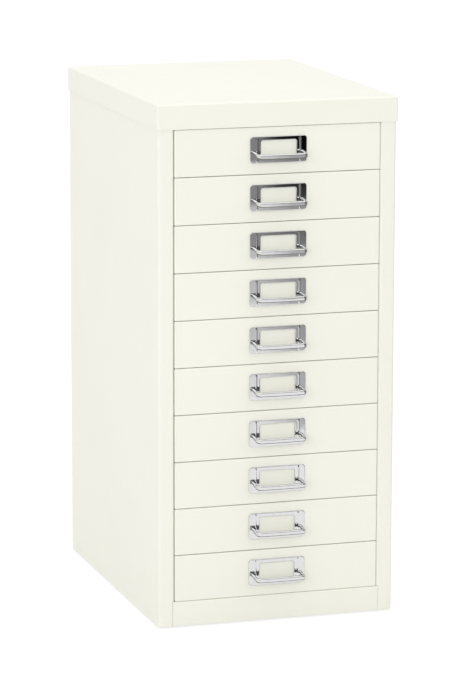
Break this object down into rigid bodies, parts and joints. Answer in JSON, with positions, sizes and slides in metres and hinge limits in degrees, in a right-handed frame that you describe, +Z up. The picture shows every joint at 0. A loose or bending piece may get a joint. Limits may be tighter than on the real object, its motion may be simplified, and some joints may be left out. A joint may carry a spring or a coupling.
{
  "type": "multi-drawer filing cabinet",
  "caption": "Upright steel cabinet holding a stack of shallow drawers for A4 papers, each drawer with a chrome label-holder pull.",
  "frame": {"origin": "middle of the footprint, pulls included, on the surface that the feet stand on", "axes": "+Z up, -Y the way the drawers open, +X to the right of someone facing the drawers"},
  "size_m": [0.279, 0.3986, 0.59],
  "materials": {
    "shell_paint": "satin powder coat",
    "front_paint": "satin powder coat",
    "tray_paint": "thin satin powder coat",
    "pull_chrome": "bright plated",
    "foot_plastic": "soft matt"
  },
  "bodies": {
    "cabinet": {"top_cap": "shell_paint", "left_side_panel": "shell_paint", "right_side_panel": "shell_paint", "back_panel": "shell_paint", "base_panel": "shell_paint", "bottom_rail": "shell_paint", "left_runner_panel": "tray_paint", "right_runner_panel": "tray_paint", "left_front_post": "tray_paint", "right_front_post": "tray_paint", "left_rear_post": "tray_paint", "right_rear_post": "tray_paint", "foot_front_left": "foot_plastic", "foot_front_right": "foot_plastic", "foot_rear_left": "foot_plastic", "foot_rear_right": "foot_plastic"},
    "drawer_01": {"drawer_01_front": "front_paint", "drawer_01_tray": "tray_paint", "drawer_01_pull": "pull_chrome"},
    "drawer_02": {"drawer_02_front": "front_paint", "drawer_02_tray": "tray_paint", "drawer_02_pull": "pull_chrome"},
    "drawer_03": {"drawer_03_front": "front_paint", "drawer_03_tray": "tray_paint", "drawer_03_pull": "pull_chrome"},
    "drawer_04": {"drawer_04_front": "front_paint", "drawer_04_tray": "tray_paint", "drawer_04_pull": "pull_chrome"},
    "drawer_05": {"drawer_05_front": "front_paint", "drawer_05_tray": "tray_paint", "drawer_05_pull": "pull_chrome"},
    "drawer_06": {"drawer_06_front": "front_paint", "drawer_06_tray": "tray_paint", "drawer_06_pull": "pull_chrome"},
    "drawer_07": {"drawer_07_front": "front_paint", "drawer_07_tray": "tray_paint", "drawer_07_pull": "pull_chrome"},
    "drawer_08": {"drawer_08_front": "front_paint", "drawer_08_tray": "tray_paint", "drawer_08_pull": "pull_chrome"},
    "drawer_09": {"drawer_09_front": "front_paint", "drawer_09_tray": "tray_paint", "drawer_09_pull": "pull_chrome"},
    "drawer_10": {"drawer_10_front": "front_paint", "drawer_10_tray": "tray_paint", "drawer_10_pull": "pull_chrome"}
  },
  "joints": [
    {"name": "drawer_01_slide", "type": "slide", "parent": "cabinet", "child": "drawer_01", "axis": [0, -1, 0], "range_m": [0, 0.2725]},
    {"name": "drawer_02_slide", "type": "slide", "parent": "cabinet", "child": "drawer_02", "axis": [0, -1, 0], "range_m": [0, 0.2725]},
    {"name": "drawer_03_slide", "type": "slide", "parent": "cabinet", "child": "drawer_03", "axis": [0, -1, 0], "range_m": [0, 0.2725]},
    {"name": "drawer_04_slide", "type": "slide", "parent": "cabinet", "child": "drawer_04", "axis": [0, -1, 0], "range_m": [0, 0.2725]},
    {"name": "drawer_05_slide", "type": "slide", "parent": "cabinet", "child": "drawer_05", "axis": [0, -1, 0], "range_m": [0, 0.2725]},
    {"name": "drawer_06_slide", "type": "slide", "parent": "cabinet", "child": "drawer_06", "axis": [0, -1, 0], "range_m": [0, 0.2725]},
    {"name": "drawer_07_slide", "type": "slide", "parent": "cabinet", "child": "drawer_07", "axis": [0, -1, 0], "range_m": [0, 0.2725]},
    {"name": "drawer_08_slide", "type": "slide", "parent": "cabinet", "child": "drawer_08", "axis": [0, -1, 0], "range_m": [0, 0.2725]},
    {"name": "drawer_09_slide", "type": "slide", "parent": "cabinet", "child": "drawer_09", "axis": [0, -1, 0], "range_m": [0, 0.2725]},
    {"name": "drawer_10_slide", "type": "slide", "parent": "cabinet", "child": "drawer_10", "axis": [0, -1, 0], "range_m": [0, 0.2725]}
  ]
}
